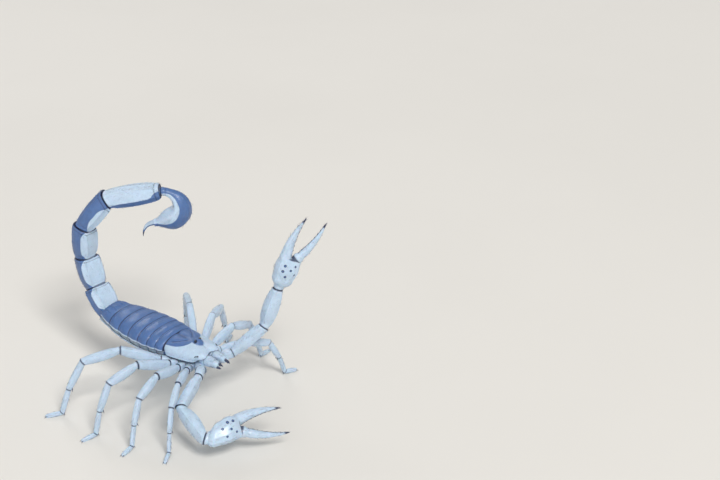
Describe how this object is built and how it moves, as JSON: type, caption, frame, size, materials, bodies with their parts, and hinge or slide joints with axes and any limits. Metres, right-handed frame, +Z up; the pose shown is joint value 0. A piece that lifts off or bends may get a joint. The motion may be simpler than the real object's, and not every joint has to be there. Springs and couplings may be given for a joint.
{
  "type": "scorpion",
  "caption": "Life-size desert scorpion standing high on its legs, tail arched over the back, one claw raised and the other held low in front.",
  "frame": {"origin": "on the floor, below the middle of the animal's outline seen from above", "axes": "-Y toward the head, +Y toward the rear, +X toward the animal's left side, +Z up"},
  "size_m": [0.0734, 0.0882, 0.0622],
  "materials": {
    "dark_cuticle": "satin, finely granular",
    "pale_cuticle": "satin",
    "hard_tips": "polished",
    "eye": "wet gloss",
    "membrane": "soft, finely wrinkled",
    "bristle": "matt"
  },
  "bodies": {
    "root": {"carapace": "dark_cuticle", "trunk_segment_1": "dark_cuticle", "trunk_segment_2": "dark_cuticle", "trunk_segment_3": "dark_cuticle", "trunk_segment_4": "dark_cuticle", "trunk_segment_5": "dark_cuticle", "trunk_segment_6": "dark_cuticle", "trunk_segment_7": "dark_cuticle", "tail_segment_1": "dark_cuticle", "tail_segment_2": "dark_cuticle", "tail_segment_3": "dark_cuticle", "tail_segment_4": "dark_cuticle", "tail_segment_5": "dark_cuticle", "venom_bulb": "dark_cuticle", "sting": "hard_tips", "eye_right": "eye", "eye_left": "eye", "chelicera_right": "pale_cuticle", "chelicera_left": "pale_cuticle", "underside": "pale_cuticle", "pecten_right": "pale_cuticle", "pecten_left": "pale_cuticle", "claw_right_trochanter": "pale_cuticle", "claw_right_femur": "pale_cuticle", "claw_right_patella": "pale_cuticle", "claw_right_palm": "pale_cuticle", "claw_right_movable_finger": "pale_cuticle", "claw_left_trochanter": "pale_cuticle", "claw_left_femur": "pale_cuticle", "claw_left_patella": "pale_cuticle", "claw_left_palm": "pale_cuticle", "claw_left_movable_finger": "pale_cuticle", "leg1_right_femur": "pale_cuticle", "leg1_right_tibia": "pale_cuticle", "leg1_right_foot": "pale_cuticle", "leg2_right_femur": "pale_cuticle", "leg2_right_tibia": "pale_cuticle", "leg2_right_foot": "pale_cuticle", "leg3_right_femur": "pale_cuticle", "leg3_right_tibia": "pale_cuticle", "leg3_right_foot": "pale_cuticle", "leg4_right_femur": "pale_cuticle", "leg4_right_tibia": "pale_cuticle", "leg4_right_foot": "pale_cuticle", "leg1_left_femur": "pale_cuticle", "leg1_left_tibia": "pale_cuticle", "leg1_left_foot": "pale_cuticle", "leg2_left_femur": "pale_cuticle", "leg2_left_tibia": "pale_cuticle", "leg2_left_foot": "pale_cuticle", "leg3_left_femur": "pale_cuticle", "leg3_left_tibia": "pale_cuticle", "leg3_left_foot": "pale_cuticle", "leg4_left_femur": "pale_cuticle", "leg4_left_tibia": "pale_cuticle", "leg4_left_foot": "pale_cuticle"}
  },
  "joints": []
}
